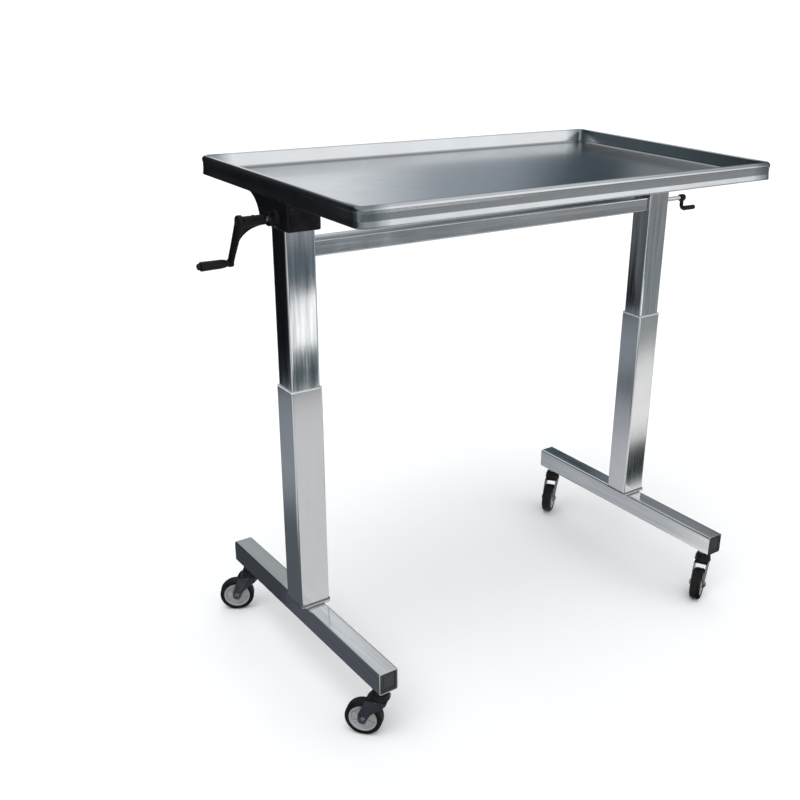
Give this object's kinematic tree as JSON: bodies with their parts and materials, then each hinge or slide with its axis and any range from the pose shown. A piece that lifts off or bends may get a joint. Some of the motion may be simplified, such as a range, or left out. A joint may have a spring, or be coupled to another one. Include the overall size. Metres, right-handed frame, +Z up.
{
  "type": "overbed table",
  "caption": "Crank-height-adjustable overbed instrument table: shallow rimmed steel tray on a two-column bridge frame with T-feet and swivel castors.",
  "frame": {"origin": "middle of the footprint, on the ground under the castors", "axes": "+X along the tray, away from the crank; +Y to the rear; +Z up"},
  "size_m": [1.231, 0.6386, 1.025],
  "materials": {
    "tray_steel": "satin",
    "frame_steel": "polished",
    "zinc": "satin",
    "hub_metal": "satin",
    "bright_steel": "polished",
    "black_paint": "semi-gloss",
    "head_grey": "semi-gloss",
    "grip_plastic": "gloss",
    "black_plastic": "matte",
    "liner": "matte",
    "bronze": "satin",
    "tyre": "matte"
  },
  "bodies": {
    "left_leg": {"left_outer_tube": "frame_steel", "left_guide_collar": "liner", "left_base_plate": "frame_steel", "left_foot_beam": "frame_steel", "left_foot_caps": "black_plastic", "left_nut_post": "bright_steel", "left_lead_nut": "bronze", "left_castor_stems": "zinc"},
    "upper_frame": {"tray_pan": "tray_steel", "tray_stiffeners": "frame_steel", "tray_brackets": "frame_steel", "tray_screws": "zinc", "crossbar": "frame_steel", "left_head": "black_paint", "right_head": "head_grey", "left_inner_tube": "frame_steel", "right_inner_tube": "frame_steel", "column_sliders": "black_plastic", "screw_bearings": "zinc", "shaft_bushes": "bronze", "brake_boss": "frame_steel"},
    "drive_shaft": {"cross_shaft": "bright_steel", "drive_pinions": "zinc", "crank_arm": "black_paint", "crank_set_screw": "black_paint", "crank_pin": "bright_steel"},
    "crank_grip": {"crank_grip": "grip_plastic"},
    "left_screw": {"left_lead_screw": "bright_steel", "left_bevel_gear": "zinc"},
    "right_screw": {"right_lead_screw": "bright_steel", "right_bevel_gear": "zinc"},
    "brake": {"brake_spindle": "bright_steel", "brake_lever": "black_paint", "brake_pad": "black_plastic"},
    "right_leg": {"right_outer_tube": "frame_steel", "right_guide_collar": "liner", "right_base_plate": "frame_steel", "right_foot_beam": "frame_steel", "right_foot_caps": "black_plastic", "right_nut_post": "bright_steel", "right_lead_nut": "bronze", "right_castor_stems": "zinc"},
    "swivel_left_front": {"fork_left_front": "zinc", "axle_left_front": "bright_steel"},
    "wheel_left_front": {"tyre_left_front": "tyre", "hub_left_front": "hub_metal"},
    "swivel_left_rear": {"fork_left_rear": "zinc", "axle_left_rear": "bright_steel"},
    "wheel_left_rear": {"tyre_left_rear": "tyre", "hub_left_rear": "hub_metal"},
    "swivel_right_front": {"fork_right_front": "zinc", "axle_right_front": "bright_steel"},
    "wheel_right_front": {"tyre_right_front": "tyre", "hub_right_front": "hub_metal"},
    "swivel_right_rear": {"fork_right_rear": "zinc", "axle_right_rear": "bright_steel"},
    "wheel_right_rear": {"tyre_right_rear": "tyre", "hub_right_rear": "hub_metal"}
  },
  "joints": [
    {"name": "height_lift", "type": "slide", "parent": "left_leg", "child": "upper_frame", "axis": [0, 0, 1], "range_m": [-0.2, 0.15]},
    {"name": "right_leg_slide", "type": "slide", "parent": "upper_frame", "child": "right_leg", "axis": [0, 0, 1], "range_m": [-0.151, 0.201]},
    {"name": "crank_turn", "type": "hinge", "parent": "upper_frame", "child": "drive_shaft", "pos_m": [-0.5525, -0.00047, 0.955], "axis": [1, 0, 0], "range_deg": [-3605, 2705]},
    {"name": "left_screw_turn", "type": "hinge", "parent": "upper_frame", "child": "left_screw", "pos_m": [-0.4505, -0.00047, 0.9], "axis": [0, 0, 1], "range_deg": [-3605, 2705]},
    {"name": "right_screw_turn", "type": "hinge", "parent": "upper_frame", "child": "right_screw", "pos_m": [0.4655, -0.00047, 0.9], "axis": [0, 0, 1], "range_deg": [-3605, 2705]},
    {"name": "brake_turn", "type": "hinge", "parent": "upper_frame", "child": "brake", "pos_m": [0.5695, -0.00047, 0.898], "axis": [1, 0, 0], "range_deg": [-90, 90]},
    {"name": "grip_spin", "type": "hinge", "parent": "drive_shaft", "child": "crank_grip", "pos_m": [-0.5855, 0.04653, 0.87359], "axis": [1, 0, 0], "continuous": true},
    {"name": "swivel_left_front", "type": "hinge", "parent": "left_leg", "child": "swivel_left_front", "pos_m": [-0.4505, -0.27647, 0.092], "axis": [0, 0, 1], "continuous": true},
    {"name": "wheel_left_front", "type": "hinge", "parent": "swivel_left_front", "child": "wheel_left_front", "pos_m": [-0.47193, -0.25137, 0.0375], "axis": [0.7604, 0.6494, 0], "continuous": true},
    {"name": "swivel_left_rear", "type": "hinge", "parent": "left_leg", "child": "swivel_left_rear", "pos_m": [-0.4505, 0.27553, 0.092], "axis": [0, 0, 1], "continuous": true},
    {"name": "wheel_left_rear", "type": "hinge", "parent": "swivel_left_rear", "child": "wheel_left_rear", "pos_m": [-0.47908, 0.29203, 0.0375], "axis": [0.5, 0.866, 0], "continuous": true},
    {"name": "swivel_right_front", "type": "hinge", "parent": "right_leg", "child": "swivel_right_front", "pos_m": [0.4655, -0.27647, 0.092], "axis": [0, 0, 1], "continuous": true},
    {"name": "wheel_right_front", "type": "hinge", "parent": "swivel_right_front", "child": "wheel_right_front", "pos_m": [0.43664, -0.29247, 0.0375], "axis": [-0.4848, 0.8746, 0], "continuous": true},
    {"name": "swivel_right_rear", "type": "hinge", "parent": "right_leg", "child": "swivel_right_rear", "pos_m": [0.4655, 0.27553, 0.092], "axis": [0, 0, 1], "continuous": true},
    {"name": "wheel_right_rear", "type": "hinge", "parent": "swivel_right_rear", "child": "wheel_right_rear", "pos_m": [0.4388, 0.25614, 0.0375], "axis": [-0.5878, 0.809, 0], "continuous": true}
  ],
  "couplings": [
    {"joint": "right_leg_slide", "follows": "height_lift", "ratio": -1},
    {"joint": "crank_turn", "follows": "height_lift", "rad_per_m": 314.16},
    {"joint": "left_screw_turn", "follows": "height_lift", "rad_per_m": 314.16},
    {"joint": "right_screw_turn", "follows": "height_lift", "rad_per_m": 314.16}
  ]
}
